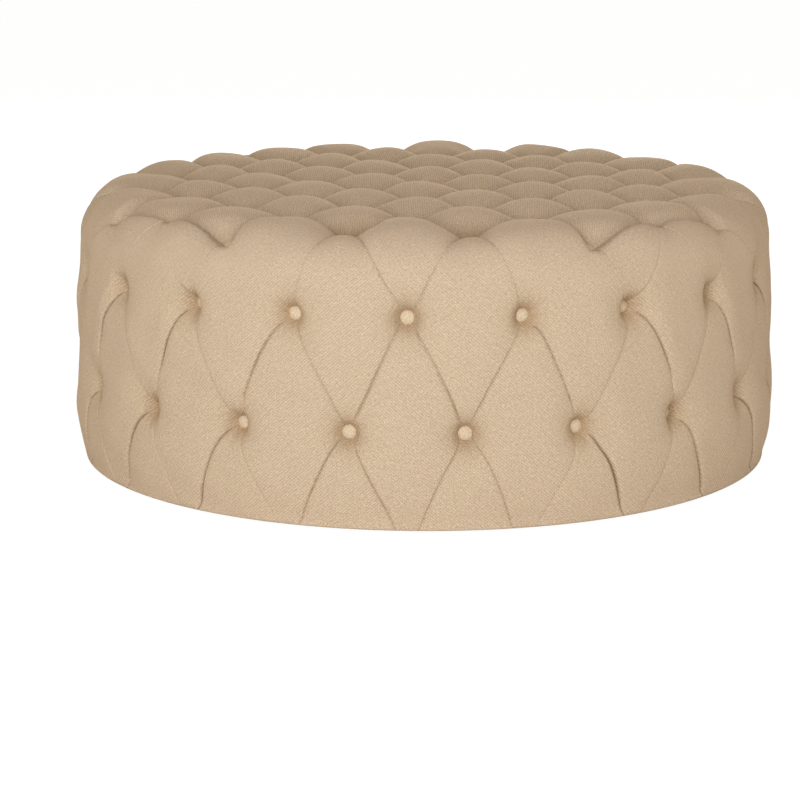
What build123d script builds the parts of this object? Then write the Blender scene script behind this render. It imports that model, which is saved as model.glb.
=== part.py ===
"""Round ottoman coffee table with deep diamond buttoning on its top and side.

The linen cover is drawn down at every button. Between the buttons it stands up in
puffs, which meet in creases. The top is a straight grid of diamonds, and the side
has two rings of buttons. Inside are foam and a drum of plywood, timber and hardboard.
Lengths are in millimetres. The origin is on the floor, at the centre of the drum.
"""
from build123d import *
import math
import os

os.makedirs("parts", exist_ok=True)

# Overall size
overall_diameter = 990.6
overall_height = 398.8

# Shape of the padded body
shoulder_radius = 80.0
hem_radius = 483.0
hem_height = 8.0
belly_height = 130.0

# Buttoning of the top: a straight grid of diamonds
diamond_width = 155.0
diamond_length = 155.0
top_grid_reach = 460.0
inner_grid_reach = 390.0
top_tuft_depth = 38.0
top_crease_depth = 13.0
rim_tuft_depth = 30.0

# Buttoning of the side: two rings
side_tuft_count = 20
upper_row_height = 279.0
lower_row_height = 131.0
side_tuft_depth = 35.0
side_crease_depth = 9.0
hem_tuft_depth = 3.0

# Each puff is a net of this many flat strips each way
puff_strips = 4

# Buttons: how high each level stands over the bottom of its tuft
button_sides = 8
button_radius = 9.0
button_base_radius = 4.5
button_crown_radius = 5.0
button_girth_rise = 4.1
button_crown_rise = 7.2
# A ring's lifts come in turn, and start again when they run out
inner_button_lifts = (4.5,)
rim_button_lifts = (2.9,)
upper_button_lifts = (4.2, 5.9, 7.9, 7.9, 5.9)
lower_button_lifts = (5.7,)

# Twine, and the tag that each knot pulls against
twine_width = 1.6
twine_hole_width = 2.4
rim_anchor_radius = 402.0
tag_width = 15.0
tag_thickness = 2.0

# Padding
cover_thickness = 8.0
seat_foam_thickness = 47.5
side_foam_thickness = 20.0
padding_chamfer = 38.0
hem_turn_radius = 400.0
hem_turn_thickness = 2.0
fit_clearance = 0.3
touch_clearance = 0.1

# Drum
wall_thickness = 3.2
deck_thickness = 12.0
ring_thickness = 18.0
ring_inner_radius = 305.0
rail_offset_columns = 1.5
rail_width = 30.0
rail_height = 42.0
rail_end_gap = 6.0
post_width = 45.0
post_pitch = 374.0

# Underside
dust_cover_thickness = 1.0
dust_cover_radius = 414.0
glide_count = 6
glide_radius = 19.0
glide_foot_radius = 16.0
glide_boss_radius = 8.0
glide_pitch_radius = 362.0
glide_screw_radius = 2.0
glide_screw_head_radius = 4.5
glide_screw_head_depth = 2.5
glide_screw_recess = 2.0
glide_screw_length = 20.0
staple_count = 40
staple_pitch_radius = 424.0
staple_length = 10.0
staple_wire = 0.8

# Sizes and places that follow from the ones above
overall_radius = overall_diameter / 2
flat_radius = overall_radius - shoulder_radius
shoulder_height = overall_height - shoulder_radius
shoulder_length = shoulder_radius * math.pi / 2
cavity_radius = overall_radius - side_tuft_depth - cover_thickness
cavity_top = overall_height - top_tuft_depth - cover_thickness
base_bottom = hem_height + hem_turn_thickness
base_top = base_bottom + ring_thickness
foam_radius = cavity_radius - fit_clearance
foam_top = cavity_top - fit_clearance
deck_top = foam_top - seat_foam_thickness
deck_bottom = deck_top - deck_thickness
wall_radius = foam_radius - side_foam_thickness - fit_clearance
wall_inner_radius = wall_radius - wall_thickness
drum_radius = wall_inner_radius - fit_clearance
rail_bottom = deck_bottom - rail_height
rail_offset = rail_offset_columns * diamond_width / 2
rail_edge = rail_offset + rail_width / 2
rail_reach = math.sqrt((drum_radius - rail_end_gap) ** 2 - rail_edge**2)
dust_cover_bottom = hem_height - dust_cover_thickness


def on_body(reach, angle, depth):
    """The point that lies depth under the body's plain outline.

    reach is the length along the outline from the middle of the top, over the
    shoulder and down the side. angle goes round the drum, from the front (-Y).
    """
    turned = min(max(reach - flat_radius, 0.0) / shoulder_radius, math.pi / 2)
    drop = max(reach - flat_radius - shoulder_length, 0.0)
    height = shoulder_height - drop + (shoulder_radius - depth) * math.cos(turned)
    radius = min(reach, flat_radius) + (shoulder_radius - depth) * math.sin(turned)
    below_belly = max(belly_height - height, 0.0) / (belly_height - hem_height)
    radius -= (overall_radius - hem_radius) * below_belly**2
    return Vector(radius * math.sin(angle), -radius * math.cos(angle), height)


class Tuft:
    """A point where the cover is drawn in, and how deep the creases near it are."""

    def __init__(self, reach, angle, depth, crease):
        self.reach, self.angle, self.depth, self.crease = reach, angle, depth, crease
        self.point = on_body(reach, angle, depth)
        self.outward = (on_body(reach, angle, 0.0) - on_body(reach, angle, 1.0)).normalized()

    def unrolled(self):
        """The tuft's place on the body's outline, rolled out flat round the centre."""
        return Vector(self.reach * math.sin(self.angle), -self.reach * math.cos(self.angle))

    def turned(self, lift):
        """A plane that faces outwards, raised by lift over the bottom of the tuft."""
        across = Vector(math.cos(self.angle), math.sin(self.angle), 0)
        return Plane(self.point + self.outward * lift, x_dir=across, z_dir=self.outward)


def top_tuft(column, row):
    """A tuft of the top's grid. Past the flat part it lies over on the shoulder."""
    radius = math.hypot(column * diamond_width, row * diamond_length) / 2
    angle = math.atan2(column * diamond_width, -row * diamond_length)
    depth = top_tuft_depth if radius < inner_grid_reach else rim_tuft_depth
    over = math.asin(max(radius - flat_radius, 0.0) / (shoulder_radius - depth))
    reach = min(radius, flat_radius) + shoulder_radius * over
    return Tuft(reach, angle, depth, top_crease_depth)


def side_ring(first_step, height, depth, crease):
    """A ring of tufts on the side. first_step is the first one's place, in steps."""
    reach = flat_radius + shoulder_length + shoulder_height - height
    turns = [(first_step + step) / side_tuft_count for step in range(side_tuft_count)]
    return [Tuft(reach, 2 * math.pi * turn, depth, crease) for turn in turns]


spots = [
    (column, row)
    for column in range(-side_tuft_count, side_tuft_count)
    for row in range(-side_tuft_count, side_tuft_count)
    if (column + row) % 2 == 0
    and math.hypot(column * diamond_width, row * diamond_length) / 2 < top_grid_reach
]
grid = {spot: top_tuft(*spot) for spot in spots}
inner = [tuft for tuft in grid.values() if tuft.reach < inner_grid_reach]
rim_spots = [spot for spot in spots if grid[spot].reach > inner_grid_reach]
rim_spots.sort(key=lambda spot: grid[spot].angle % (2 * math.pi))
rim = [grid[spot] for spot in rim_spots]
upper = side_ring(0.0, upper_row_height, side_tuft_depth, side_crease_depth)
lower = side_ring(0.5, lower_row_height, side_tuft_depth, side_crease_depth)
hem = side_ring(0.0, hem_height, hem_tuft_depth, 0.0)


def along(first, second, share):
    """A point of the crease between two tufts, on the outline rolled out flat."""
    if max(first.reach, second.reach) < flat_radius + shoulder_length:
        return first.unrolled() * (1 - share) + second.unrolled() * share
    turn = (second.angle - first.angle + math.pi) % (2 * math.pi) - math.pi
    reach = first.reach + (second.reach - first.reach) * share
    return Tuft(reach, first.angle + turn * share, 0.0, 0.0).unrolled()


def blend(values, u, v):
    """The mean of four corner values, weighted by how near each corner is."""
    a, b, c, d = values
    return a * (1 - u) * (1 - v) + b * u * (1 - v) + c * u * v + d * (1 - u) * v


def puff_point(corners, u, v):
    """A point of the puff between four tufts, at the shares u and v across it.

    Its place on the rolled-out outline is carried in from the four creases. Its
    depth goes from the tufts', through the creases', to none at the crown. A puff
    whose last two corners are one tuft is three-sided.
    """
    a, b, c, d = corners
    place = along(a, b, u) * (1 - v) + along(d, c, u) * v
    place += along(a, d, v) * (1 - u) + along(b, c, v) * u
    place -= blend([tuft.unrolled() for tuft in corners], u, v)
    rise_u = math.sin(math.pi * u) * (1 - v if c is d else 1)
    rise_v = math.sin(math.pi * v)
    depth = blend([tuft.depth for tuft in corners], u, v) * (1 - rise_u) * (1 - rise_v)
    crease = blend([tuft.crease for tuft in corners], u, v)
    depth += crease * (rise_u * (1 - rise_v) + rise_v * (1 - rise_u))
    return on_body(place.length, math.atan2(place.X, -place.Y), depth)


def puff_facets(corners):
    """The flat facets of one puff, split so that they stand out and not in."""
    shares = [step / puff_strips for step in range(puff_strips + 1)]
    net = [[puff_point(corners, u, v) for v in shares] for u in shares]
    middle = Vector(0, 0, lower_row_height)
    facets = []
    for i in range(puff_strips):
        for j in range(puff_strips):
            a, b, c, d = net[i][j], net[i + 1][j], net[i + 1][j + 1], net[i][j + 1]
            if ((a + c) / 2 - middle).length > ((b + d) / 2 - middle).length:
                halves = [(a, b, c), (a, c, d)]
            else:
                halves = [(a, b, d), (b, c, d)]
            for p, q, r in halves:
                if min((p - q).length, (q - r).length, (r - p).length) > touch_clearance:
                    facets.append(Face(Wire.make_polygon([p, q, r])))
    return facets


def nearby(spot, other):
    """Whether two places of the top's grid are joined by a crease."""
    return abs(spot[0] - other[0]) == 1 and abs(spot[1] - other[1]) == 1


# The puffs, each by the tufts at its corners, from the middle of the top to the hem
puffs = []
for column, row in [(column, row + 1) for column, row in spots]:
    round_it = [(column, row - 1), (column + 1, row), (column, row + 1), (column - 1, row)]
    if all(spot in grid for spot in round_it):
        puffs.append([grid[spot] for spot in round_it])
for step in range(side_tuft_count):
    ahead, behind = rim_spots[step], rim_spots[step - 1]
    inmost = [grid[spot] for spot in spots if nearby(spot, ahead) and nearby(spot, behind)]
    if inmost:
        puffs.append([inmost[0], rim[step], upper[step], rim[step - 1]])
    else:
        puffs.append([rim[step - 1], rim[step], upper[step], upper[step]])
    following = (step + 1) % side_tuft_count
    puffs.append([rim[step], upper[following], lower[step], upper[step]])
    puffs.append([upper[step], lower[step], hem[step], lower[step - 1]])
    puffs.append([hem[step], hem[following], lower[step], lower[step]])

# The space inside the cover: the padding and the drum fill it
with BuildPart() as cavity:
    with BuildSketch(Plane.XZ):
        with BuildLine():
            Polyline(
                (0, 0),
                (hem_turn_radius, 0),
                (hem_turn_radius, base_bottom),
                (cavity_radius, base_bottom),
                (cavity_radius, cavity_top - padding_chamfer),
                (cavity_radius - padding_chamfer, cavity_top),
                (0, cavity_top),
                close=True,
            )
        make_face()
    revolve(axis=Axis.Z)

# Linen cover with its filling, turned under the drum at the hem
hem_line = []
for step in range(side_tuft_count):
    corners = [hem[step - 1], hem[step], lower[step - 1], lower[step - 1]]
    hem_line += [puff_point(corners, part / puff_strips, 0.0) for part in range(puff_strips)]
cover_facets = [facet for corners in puffs for facet in puff_facets(corners)]
cover_facets.append(Face(Wire.make_polygon(hem_line)))
with BuildPart() as cover:
    add(Solid(Shell(cover_facets)))
    add(cavity.part, mode=Mode.SUBTRACT)

# One covered button: it widens from its base to its girth, and domes over on top
with BuildPart() as button:
    with BuildSketch():
        RegularPolygon(button_base_radius, button_sides)
    with BuildSketch(Plane.XY.offset(button_girth_rise)):
        RegularPolygon(button_radius, button_sides)
    loft(ruled=True)
    with BuildSketch(Plane.XY.offset(button_girth_rise)):
        RegularPolygon(button_radius, button_sides)
    with BuildSketch(Plane.XY.offset(button_crown_rise)):
        RegularPolygon(button_crown_radius, button_sides)
    loft(ruled=True)


def twine_run(tuft):
    """A plane at a tuft that faces the tuft's tag, and how far away the tag is."""
    if tuft in upper or tuft in lower:
        inward = -tuft.outward
        length = overall_radius - tuft.depth - wall_inner_radius + touch_clearance
    else:
        radius = min(math.hypot(tuft.point.X, tuft.point.Y), rim_anchor_radius)
        anchor = Vector(
            radius * math.sin(tuft.angle), -radius * math.cos(tuft.angle), deck_bottom
        )
        inward = (anchor - tuft.point).normalized()
        length = (anchor - tuft.point).length
    across = Vector(math.cos(tuft.angle), math.sin(tuft.angle), 0)
    return Plane(tuft.point, x_dir=across, z_dir=inward), length



def bars(tufts, width, extra):
    """Boxes, with their places, along the twines. Each ends extra past its tag."""
    runs = [twine_run(tuft) for tuft in tufts]
    return [(plane, Box(width, width, length + extra, align=FROM_TUFT, mode=Mode.PRIVATE))
            for plane, length in runs]


FROM_TUFT = (Align.CENTER, Align.CENTER, Align.MIN)
groups = {"inner": inner, "rim": rim, "upper": upper, "lower": lower}
lifts = {
    "inner": inner_button_lifts,
    "rim": rim_button_lifts,
    "upper": upper_button_lifts,
    "lower": lower_button_lifts,
}
pieces = {"cover": cover.part}

# The buttons, in four groups
for name, tufts in groups.items():
    turn = lifts[name]
    seats = [tuft.turned(turn[number % len(turn)]) for number, tuft in enumerate(tufts)]
    with BuildPart() as buttons:
        with Locations(*seats):
            add(button.part)
    pieces[name + "_buttons"] = buttons.part

# The twines: each runs from inside the cover to its tag, under the deck or in the drum
with BuildPart() as padding_space:
    add(cavity.part)
    with Locations((0, 0, deck_bottom)):
        Cylinder(
            drum_radius,
            deck_bottom,
            align=(Align.CENTER, Align.CENTER, Align.MAX),
            mode=Mode.SUBTRACT,
        )
for name, tufts in groups.items():
    with BuildPart() as twines:
        for plane, box in bars(tufts, twine_width, 0.0 if tufts is not rim else tag_width):
            with Locations(plane):
                add(box)
        add(padding_space.part, mode=Mode.INTERSECT)
    pieces[name + "_twines"] = twines.part

# The tags that hold the twines' knots
for name, tufts in groups.items():
    with BuildPart() as tags:
        for tuft in tufts:
            plane, length = twine_run(tuft)
            knot = plane.origin + plane.z_dir * length
            facing = Plane(knot, x_dir=plane.x_dir, z_dir=plane.z_dir)
            if tuft in inner or tuft in rim:
                facing = Plane(knot, x_dir=plane.x_dir, z_dir=(0, 0, -1))
            with Locations(facing):
                Box(tag_width, tag_width, tag_thickness, align=FROM_TUFT)
    pieces[name + "_tags"] = tags.part

# Foam on the deck, with a hole for each twine
with BuildPart() as seat_foam:
    with BuildSketch(Plane.XZ):
        with BuildLine():
            Polyline(
                (0, deck_top),
                (foam_radius, deck_top),
                (foam_radius, foam_top - padding_chamfer),
                (foam_radius - padding_chamfer, foam_top),
                (0, foam_top),
                close=True,
            )
        make_face()
    revolve(axis=Axis.Z)
    for plane, box in bars(inner + rim, twine_hole_width, tag_width):
        with Locations(plane):
            add(box, mode=Mode.SUBTRACT)
pieces["seat_foam"] = seat_foam.part

# Foam round the wall
with BuildPart() as side_foam:
    with BuildSketch(Plane.XY.offset(base_bottom)):
        Circle(foam_radius)
        Circle(foam_radius - side_foam_thickness, mode=Mode.SUBTRACT)
    extrude(amount=deck_top - base_bottom)
    for plane, box in bars(upper + lower, twine_hole_width, tag_width):
        with Locations(plane):
            add(box, mode=Mode.SUBTRACT)
pieces["side_foam"] = side_foam.part

# Hardboard wall of the drum
with BuildPart() as wall:
    with BuildSketch(Plane.XY.offset(base_bottom)):
        Circle(wall_radius)
        Circle(wall_inner_radius, mode=Mode.SUBTRACT)
    extrude(amount=deck_top - base_bottom)
    for plane, box in bars(upper + lower, twine_hole_width, tag_width):
        with Locations(plane):
            add(box, mode=Mode.SUBTRACT)
pieces["wall"] = wall.part

# Plywood deck under the seat foam
with BuildPart() as deck:
    with BuildSketch(Plane.XY.offset(deck_bottom)):
        Circle(drum_radius)
    extrude(amount=deck_thickness)
    for plane, box in bars(inner + rim, twine_hole_width, tag_width):
        with Locations(plane):
            add(box, mode=Mode.SUBTRACT)
pieces["deck"] = deck.part

# Two pairs of rails under the deck, halved into each other where they cross
for name, side, lapped in [("rail", 0, Align.MIN), ("cross_rail", 1, Align.MAX)]:
    for end, sign in [("near", -1), ("far", 1)]:
        with BuildPart() as rail:
            with Locations(Rotation(0, 0, side * 90)):
                with Locations((0, sign * rail_offset, rail_bottom)):
                    Box(2 * rail_reach, rail_width, rail_height, align=FROM_TUFT)
                laps = [(lap * rail_offset, sign * rail_offset) for lap in (-1, 1)]
                with Locations(*[(x, y, rail_bottom + rail_height / 2) for x, y in laps]):
                    Box(
                        rail_width,
                        rail_width,
                        rail_height / 2,
                        align=(Align.CENTER, Align.CENTER, lapped),
                        mode=Mode.SUBTRACT,
                    )
        pieces[name + "_" + end] = rail.part

# Posts from the base ring to the ends of the rails
post_spots = [(x * post_pitch, y * rail_offset) for x in (-1, 1) for y in (-1, 1)]
post_spots += [(y, x) for x, y in post_spots]
for number, (x, y) in enumerate(post_spots, 1):
    with BuildPart() as post:
        with Locations((x, y, base_top)):
            Box(post_width, post_width, rail_bottom - base_top, align=FROM_TUFT)
    pieces[f"post_{number}"] = post.part

# Plywood ring at the foot of the drum, drilled for the screws of the glides
with BuildPart() as base_ring:
    with BuildSketch(Plane.XY.offset(base_bottom)):
        Circle(drum_radius)
        Circle(ring_inner_radius, mode=Mode.SUBTRACT)
        with PolarLocations(glide_pitch_radius, glide_count):
            Circle(glide_screw_radius + touch_clearance, mode=Mode.SUBTRACT)
    extrude(amount=ring_thickness)
pieces["base_ring"] = base_ring.part

# Dust cover under the drum, with a hole for each glide
with BuildPart() as dust_cover:
    with BuildSketch(Plane.XY.offset(dust_cover_bottom)):
        Circle(dust_cover_radius)
        with PolarLocations(glide_pitch_radius, glide_count):
            Circle(glide_boss_radius + fit_clearance, mode=Mode.SUBTRACT)
    extrude(amount=dust_cover_thickness)
pieces["dust_cover"] = dust_cover.part

# Staples that hold the hem under the drum
with BuildPart() as hem_staples:
    with PolarLocations(staple_pitch_radius, staple_count):
        with Locations((0, 0, hem_height)):
            Box(
                staple_wire,
                staple_length,
                staple_wire,
                align=(Align.CENTER, Align.CENTER, Align.MAX),
            )
pieces["hem_staples"] = hem_staples.part

# Glides that the drum stands on, and their screws
with BuildPart() as glide:
    with BuildSketch(Plane.XZ):
        with BuildLine():
            Polyline(
                (glide_screw_radius + touch_clearance, glide_screw_recess),
                (glide_screw_head_radius + touch_clearance, glide_screw_recess),
                (glide_screw_head_radius + touch_clearance, 0),
                (glide_foot_radius, 0),
                (glide_radius, dust_cover_bottom),
                (glide_boss_radius, dust_cover_bottom),
                (glide_boss_radius, base_bottom),
                (glide_screw_radius + touch_clearance, base_bottom),
                close=True,
            )
        make_face()
    revolve(axis=Axis.Z)
with BuildPart() as glide_screw:
    with BuildSketch(Plane.XZ):
        with BuildLine():
            Polyline(
                (0, glide_screw_recess - glide_screw_head_depth / 2),
                (glide_screw_head_radius, glide_screw_recess - glide_screw_head_depth / 2),
                (glide_screw_head_radius, glide_screw_recess),
                (glide_screw_radius, glide_screw_recess),
                (glide_screw_radius, glide_screw_recess + glide_screw_length),
                (0, glide_screw_recess + glide_screw_length),
                close=True,
            )
        make_face()
    revolve(axis=Axis.Z)
for number in range(1, glide_count + 1):
    spot = PolarLocations(glide_pitch_radius, glide_count).locations[number - 1]
    for name, body in [("glide", glide), ("glide_screw", glide_screw)]:
        with BuildPart() as placed:
            with Locations(spot):
                add(body.part)
        pieces[f"{name}_{number}"] = placed.part

for name, piece in pieces.items():
    piece.label = name
    export_step(piece, f"parts/{name}.step")
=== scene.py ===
"""Round, deep-buttoned ottoman coffee table in natural linen.

One linen cover is drawn down at 97 buttons, and stands up between them in puffs that
meet in creases. The top is a straight grid of diamonds, and the side has two rings of
buttons. Lengths are in metres, +Z is up, and the front faces -Y.
"""

import math

import bmesh
import bpy
import numpy as np
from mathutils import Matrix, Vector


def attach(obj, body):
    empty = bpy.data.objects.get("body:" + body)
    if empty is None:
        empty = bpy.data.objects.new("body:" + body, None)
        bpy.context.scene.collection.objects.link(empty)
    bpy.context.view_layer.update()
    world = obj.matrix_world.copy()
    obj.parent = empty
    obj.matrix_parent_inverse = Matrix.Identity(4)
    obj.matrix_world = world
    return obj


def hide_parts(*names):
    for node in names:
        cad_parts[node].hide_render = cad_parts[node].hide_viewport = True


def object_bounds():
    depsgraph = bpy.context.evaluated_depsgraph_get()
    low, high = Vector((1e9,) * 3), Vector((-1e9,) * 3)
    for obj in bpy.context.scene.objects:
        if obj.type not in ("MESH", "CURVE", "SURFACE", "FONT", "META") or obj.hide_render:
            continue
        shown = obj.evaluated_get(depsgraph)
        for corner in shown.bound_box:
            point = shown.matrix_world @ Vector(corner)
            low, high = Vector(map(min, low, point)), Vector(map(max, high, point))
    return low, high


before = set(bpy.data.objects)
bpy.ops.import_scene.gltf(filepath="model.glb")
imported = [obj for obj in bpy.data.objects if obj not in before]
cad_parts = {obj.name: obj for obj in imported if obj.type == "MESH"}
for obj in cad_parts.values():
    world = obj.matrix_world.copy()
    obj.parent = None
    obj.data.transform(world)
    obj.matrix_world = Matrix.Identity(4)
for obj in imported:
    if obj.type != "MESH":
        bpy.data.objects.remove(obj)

CAD_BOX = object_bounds()

bl_info = {
    "name": "Buttoned ottoman",
    "version": (1, 0, 0),
    "blender": (4, 5, 0),
    "location": "3D View > Sidebar > Ottoman",
    "description": "Builds a round, deep-buttoned linen ottoman",
    "category": "Add Mesh",
}

MM = 0.001
TAU = 2 * math.pi

# What each tuft holds, in this order; lay_out says what they are
REACH, TURN, PULL, CREASE, SIDE, DIP, ON_RIM = range(7)

# Reaches: how far along the outline a point is from the middle of the top
RIM_REACH = 0.390  # the buttons further out are on the rim
GRID_REACH = 0.460  # the top's grid ends here
BRIDGE_START, BRIDGE_END = 0.440, 0.500  # the cloth bridges the rim's creases from here on
CROWN_REACH = 0.45  # the top has fallen off by its whole crown here

# The last ring of tufts holds no button: it lies below the hem, and it is shallower than
# any real tuft
FOOT_HEIGHT, FOOT_PULL, LEAST_REAL_PULL = -0.030, 0.012, 0.02

# Middle and half height of the belly
BELLY_MIDDLE, BELLY_SPREAD = 0.095, 0.050

# Blender's wave texture has a band for each of these of its scaled coordinate
WAVE_BAND = 0.31416

# A fold is flat this near to its upper button, and stands in full this far off
FOLD_START, FOLD_FULL = 0.011, 0.022


class BodySettings(bpy.types.PropertyGroup):
    """The shape of the padded body and the places of its buttons."""

    radius: bpy.props.FloatProperty(
        name="Radius",
        description="From the centre to the puffs of the side",
        default=(CAD_BOX[1][0] - CAD_BOX[0][0]) / 2,
        unit="LENGTH",
    )
    height: bpy.props.FloatProperty(
        name="Height",
        description="From the floor to the puffs of the top",
        default=CAD_BOX[1][2],
        unit="LENGTH",
    )
    shoulder: bpy.props.FloatProperty(
        name="Shoulder", description="Radius of the top's rounded edge",
        default=0.080, unit="LENGTH",
    )
    hem_radius: bpy.props.FloatProperty(
        name="Hem radius", description="Radius at the foot of the cover",
        default=0.488, unit="LENGTH",
    )
    hem_height: bpy.props.FloatProperty(
        name="Hem height", description="Height of the hem over the floor",
        default=0.008, unit="LENGTH",
    )
    belly_height: bpy.props.FloatProperty(
        name="Belly height", description="Below this the side draws in",
        default=0.062, unit="LENGTH",
    )
    belly: bpy.props.FloatProperty(
        name="Belly", description="How far the side stands out below the lower ring",
        default=0.0065, unit="LENGTH",
    )
    neck: bpy.props.FloatProperty(
        name="Neck", description="How far the side draws in at the shoulder",
        default=0.006, unit="LENGTH",
    )
    crown: bpy.props.FloatProperty(
        name="Crown", description="How far the top falls off to its edge",
        default=0.004, unit="LENGTH",
    )
    neck_height: bpy.props.FloatProperty(
        name="Neck height", description="Above this the side draws in", default=0.220, unit="LENGTH"
    )
    diamond: bpy.props.FloatProperty(
        name="Diamond", description="Width of a diamond of the top", default=0.155, unit="LENGTH"
    )
    ring_turn: bpy.props.FloatProperty(
        name="Ring turn", description="How far the rings of the side are turned to the right",
        default=math.radians(0.4), subtype="ANGLE",
    )
    ring_count: bpy.props.IntProperty(
        name="Ring buttons", description="Buttons in each ring of the side", default=20
    )
    upper_height: bpy.props.FloatProperty(
        name="Upper ring", description="Height of the upper ring of buttons",
        default=0.279, unit="LENGTH",
    )
    lower_height: bpy.props.FloatProperty(
        name="Lower ring", description="Height of the lower ring of buttons",
        default=0.131, unit="LENGTH",
    )


class PuffSettings(bpy.types.PropertyGroup):
    """How deep the buttons pull, and how the puffs round off between them."""

    top_depth: bpy.props.FloatProperty(
        name="Top pull", description="Depth of a button on the top", default=0.038, unit="LENGTH"
    )
    rim_depth: bpy.props.FloatProperty(
        name="Rim pull", description="Depth of a button on the rim", default=0.037, unit="LENGTH"
    )
    side_depth: bpy.props.FloatProperty(
        name="Side pull", description="Depth of a button on the side", default=0.036, unit="LENGTH"
    )
    top_crease: bpy.props.FloatProperty(
        name="Top crease", description="Depth of a crease of the top", default=0.025, unit="LENGTH"
    )
    side_crease: bpy.props.FloatProperty(
        name="Side crease", description="Depth of a crease of the side",
        default=0.0055, unit="LENGTH",
    )
    side_funnel: bpy.props.FloatProperty(
        name="Side dip", description="Half width of the dip round a side button",
        default=0.0143, unit="LENGTH",
    )
    top_funnel: bpy.props.FloatProperty(
        name="Top dip", description="Half width of the dip round a top button",
        default=0.0115, unit="LENGTH",
    )
    pocket: bpy.props.FloatProperty(
        name="Rim pocket", description="Half width of the dip round a rim button",
        default=0.020, unit="LENGTH",
    )
    groove: bpy.props.FloatProperty(
        name="Groove", description="Depth of the sharp part of a crease",
        default=0.0026, unit="LENGTH",
    )
    strips: bpy.props.IntProperty(
        name="Strips", description="Strips of mesh across each puff", default=36
    )


class ClothSettings(bpy.types.PropertyGroup):
    """The linen's colours and weave."""

    cover: bpy.props.StringProperty(
        name="Linen", description="Colour of the linen, as an sRGB hex value", default="dac2a6"
    )
    shade: bpy.props.StringProperty(
        name="Shaded linen", description="Colour down in the tufts", default="9a7a42"
    )
    # Painted light: a paler tone than the linen, for the light that the raised buttons catch
    button: bpy.props.StringProperty(
        name="Button linen", description="Colour of the drawn cloth on a button", default="e8d4b6"
    )
    # Painted shade: the dark colour mixed in along the fold lines and in the valleys of the top
    crease: bpy.props.StringProperty(
        name="Creased linen", description="Colour down in the folds", default="66502c"
    )
    rib: bpy.props.FloatProperty(
        name="Rib", description="Distance from rib to rib of the twill, as drawn",
        default=0.0031, unit="LENGTH",
    )


class StageSettings(bpy.types.PropertyGroup):
    """The studio: floor, lamps and camera."""

    key_power: bpy.props.FloatProperty(
        name="Key lamp", description="Power of the large front lamp",
        default=117.0, unit="POWER",
    )
    side_power: bpy.props.FloatProperty(
        name="Side lamps", description="Power of the lamps to the left and right",
        default=18.0, unit="POWER",
    )
    back_power: bpy.props.FloatProperty(
        name="Back lamp", description="Power of the lamp that draws the crests",
        default=79.0, unit="POWER",
    )
    fill: bpy.props.FloatProperty(
        name="Fill", description="Strength of the even light all round", default=0.25
    )
    focal: bpy.props.FloatProperty(
        name="Lens", description="Focal length in mm on a 36 mm sensor", default=114.3
    )


def settings():
    """The scene's own settings: body, puffs, cloth and stage."""
    scene = bpy.context.scene
    return scene.ottoman_body, scene.ottoman_puffs, scene.ottoman_cloth, scene.ottoman_stage


# The layout of the buttons


def soft_step(value, low, high):
    """From 0 at low to 1 at high, level at both ends: 3 t squared less 2 t cubed."""
    t = np.clip((value - low) / (high - low), 0, 1)
    return t * t * (3 - 2 * t)


def body_point(reach, angle, depth):
    """Points that lie depth under the plain outline.

    Along the outline: flat to the shoulder, a quarter circle, then straight down, drawn
    in below the belly by the square of the way down, and a little towards the shoulder
    by a smooth step. The belly is a bell curve, and the top's crown falls off by the
    fourth power of the reach. angle goes round from -Y.
    """
    body = settings()[0]
    flat = body.radius - body.shoulder
    arc = body.shoulder * math.pi / 2
    turned = np.clip((reach - flat) / body.shoulder, 0, math.pi / 2)
    drop = np.maximum(reach - flat - arc, 0)
    z = body.height - body.shoulder - drop + (body.shoulder - depth) * np.cos(turned)
    r = np.minimum(reach, flat) + (body.shoulder - depth) * np.sin(turned)
    low = np.clip((body.belly_height - z) / (body.belly_height - body.hem_height), 0, 1.2)
    r = r - (body.radius - body.hem_radius) * low**2
    high = soft_step(z, body.neck_height, body.height - body.shoulder)
    r = r - body.neck * high * np.sin(turned)
    r = r + body.belly * np.exp(-(((z - BELLY_MIDDLE) / BELLY_SPREAD) ** 2))
    z = z - body.crown * np.minimum(reach / CROWN_REACH, 1) ** 4 * np.cos(turned)
    return np.stack([r * np.sin(angle), -r * np.cos(angle), z], axis=-1)


def side_reach(height):
    """How far along the outline the side is at this height."""
    body = settings()[0]
    return body.radius + body.shoulder * (math.pi / 2 - 2) + body.height - height


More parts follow.
